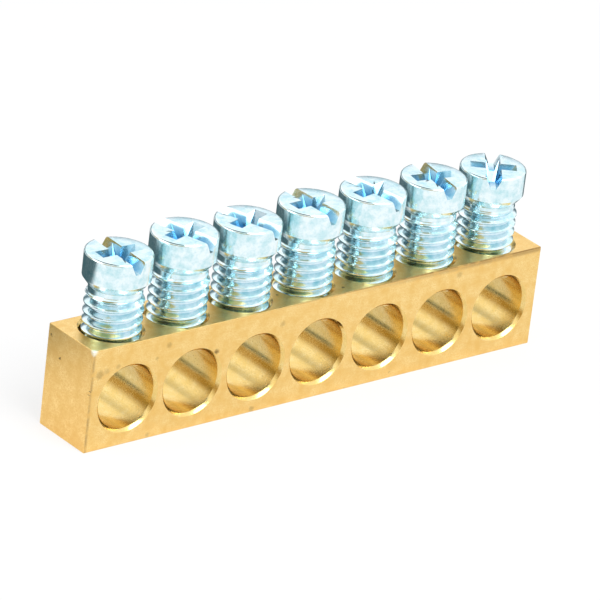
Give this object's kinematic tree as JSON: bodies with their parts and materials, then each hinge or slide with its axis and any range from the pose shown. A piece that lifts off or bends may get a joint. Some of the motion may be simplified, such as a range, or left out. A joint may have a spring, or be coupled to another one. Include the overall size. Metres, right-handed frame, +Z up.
{
  "type": "earth terminal bar",
  "caption": "Sawn brass bar drilled across for earth conductors, with a backed-out plated clamping screw standing in a tapped hole above each wire hole.",
  "frame": {"origin": "middle of the bar's underside", "axes": "+X along the bar from the first screw to the last, +Y through the wire holes from front to back, +Z up along the screws"},
  "size_m": [0.0468, 0.006, 0.0164],
  "materials": {
    "brass": "extruded brass with a satin, slightly grained skin, bright in the drilled holes and at their countersinks, sawn ends",
    "zinc_plate": "cold-formed steel with bright blue-clear zinc plating"
  },
  "bodies": {
    "bar": {"bar": "brass"},
    "screw_1": {"screw_1": "zinc_plate"},
    "screw_2": {"screw_2": "zinc_plate"},
    "screw_3": {"screw_3": "zinc_plate"},
    "screw_4": {"screw_4": "zinc_plate"},
    "screw_5": {"screw_5": "zinc_plate"},
    "screw_6": {"screw_6": "zinc_plate"},
    "screw_7": {"screw_7": "zinc_plate"}
  },
  "joints": [
    {"name": "screw_1_travel", "type": "slide", "parent": "bar", "child": "screw_1", "axis": [0, 0, -1], "range_m": [-0.0008, 0.00438]},
    {"name": "screw_2_travel", "type": "slide", "parent": "bar", "child": "screw_2", "axis": [0, 0, -1], "range_m": [-0.0008, 0.00486]},
    {"name": "screw_3_travel", "type": "slide", "parent": "bar", "child": "screw_3", "axis": [0, 0, -1], "range_m": [-0.0008, 0.00466]},
    {"name": "screw_4_travel", "type": "slide", "parent": "bar", "child": "screw_4", "axis": [0, 0, -1], "range_m": [-0.0008, 0.00494]},
    {"name": "screw_5_travel", "type": "slide", "parent": "bar", "child": "screw_5", "axis": [0, 0, -1], "range_m": [-0.0008, 0.00482]},
    {"name": "screw_6_travel", "type": "slide", "parent": "bar", "child": "screw_6", "axis": [0, 0, -1], "range_m": [-0.0008, 0.00482]},
    {"name": "screw_7_travel", "type": "slide", "parent": "bar", "child": "screw_7", "axis": [0, 0, -1], "range_m": [-0.0008, 0.0045]}
  ]
}
